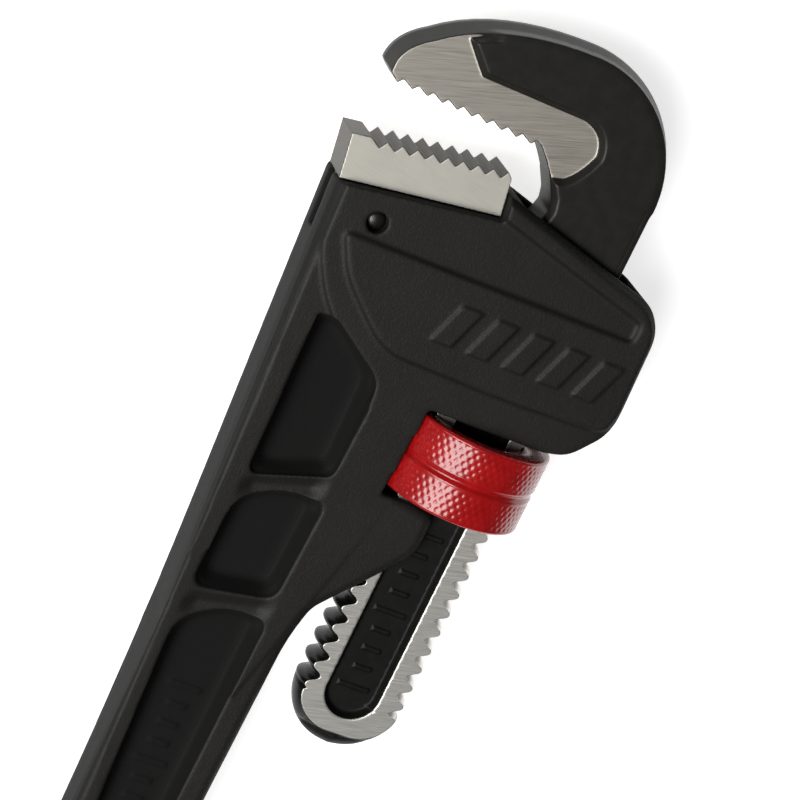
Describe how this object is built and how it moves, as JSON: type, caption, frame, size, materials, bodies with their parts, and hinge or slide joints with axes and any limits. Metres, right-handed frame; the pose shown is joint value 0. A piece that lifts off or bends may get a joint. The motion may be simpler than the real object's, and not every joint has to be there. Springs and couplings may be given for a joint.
{
  "type": "pipe wrench",
  "caption": "Straight pipe wrench with a cast handle and housing, a toothed hook jaw on a threaded shank, a knurled adjusting nut, a toothed heel jaw and two springs.",
  "frame": {"origin": "centre of the outer box in plan, at its lowest height, with the wrench lying on its side", "axes": "+Y along the threaded shank from the handle's end to the jaws, +X to the hook's back, +Z through the thickness"},
  "size_m": [0.0986, 0.4024, 0.0422],
  "materials": {
    "black_casting": "matte black paint over sand-cast iron",
    "black_forging": "satin black over forged steel",
    "ground_steel": "ground steel with fine parallel grinding marks",
    "black_steel": "satin black",
    "red_paint": "glossy red paint over a diamond knurl",
    "spring_steel": "bright spring steel"
  },
  "bodies": {
    "frame": {"handle": "black_casting", "heel_jaw": "ground_steel", "heel_jaw_pin": "black_steel", "flat_spring": "spring_steel", "spring_pin": "spring_steel"},
    "jaw_guide": {"coil_spring": "spring_steel"},
    "hook": {"hook_jaw": "black_forging"},
    "nut": {"adjusting_nut": "red_paint"}
  },
  "joints": [
    {"name": "jaw_rock", "type": "hinge", "parent": "frame", "child": "jaw_guide", "pos_m": [0.01871, 0.0848, 0.0211], "axis": [0, 0, 1], "range_deg": [-2, 0], "stiffness_Nm_per_rad": 10},
    {"name": "jaw_slide", "type": "slide", "parent": "jaw_guide", "child": "hook", "axis": [0, 1, 0], "range_m": [-0.008, 0.05]},
    {"name": "nut_spin", "type": "hinge", "parent": "jaw_guide", "child": "nut", "pos_m": [0.01871, 0.0848, 0.0211], "axis": [0, 1, 0], "range_deg": [-3010, 520]}
  ],
  "couplings": [
    {"joint": "nut_spin", "follows": "jaw_slide", "rad_per_m": -1047.2}
  ]
}
